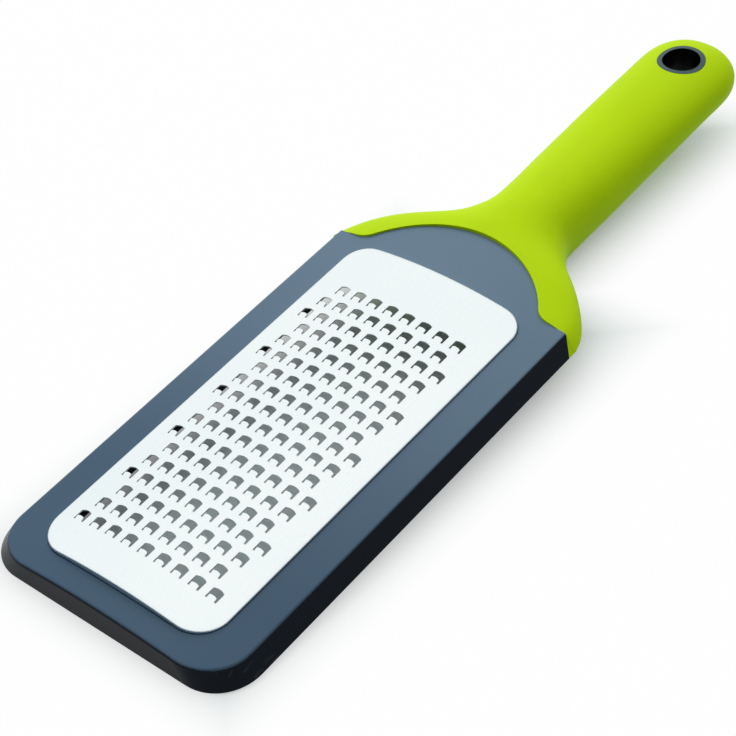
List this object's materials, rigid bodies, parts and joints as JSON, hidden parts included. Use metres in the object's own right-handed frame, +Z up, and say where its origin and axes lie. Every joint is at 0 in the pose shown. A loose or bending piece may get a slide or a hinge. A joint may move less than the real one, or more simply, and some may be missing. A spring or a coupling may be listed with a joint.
{
  "type": "rasp zester",
  "caption": "Flat hand grater with a bowed steel rasp plate in a hollow plastic frame and a soft-grip handle with a lined hanging hole.",
  "frame": {"origin": "under the middle of the tool's length, level with the lowest point of the handle", "axes": "+X across the tool, +Y along it towards the hanging hole, +Z up out of the grating plate"},
  "size_m": [0.0872, 0.2796, 0.0273],
  "materials": {
    "frame": "satin moulded slate plastic",
    "retainer": "matte moulded slate plastic",
    "plate": "satin stainless steel sheet",
    "core": "matte moulded slate plastic",
    "grip": "soft lime overmould, fine matte",
    "bush": "satin moulded slate plastic"
  },
  "bodies": {
    "root": {"frame": "frame", "plate_retainer": "retainer", "grating_plate": "plate", "handle_core": "core", "grip": "grip", "hang_bush": "bush"}
  },
  "joints": []
}
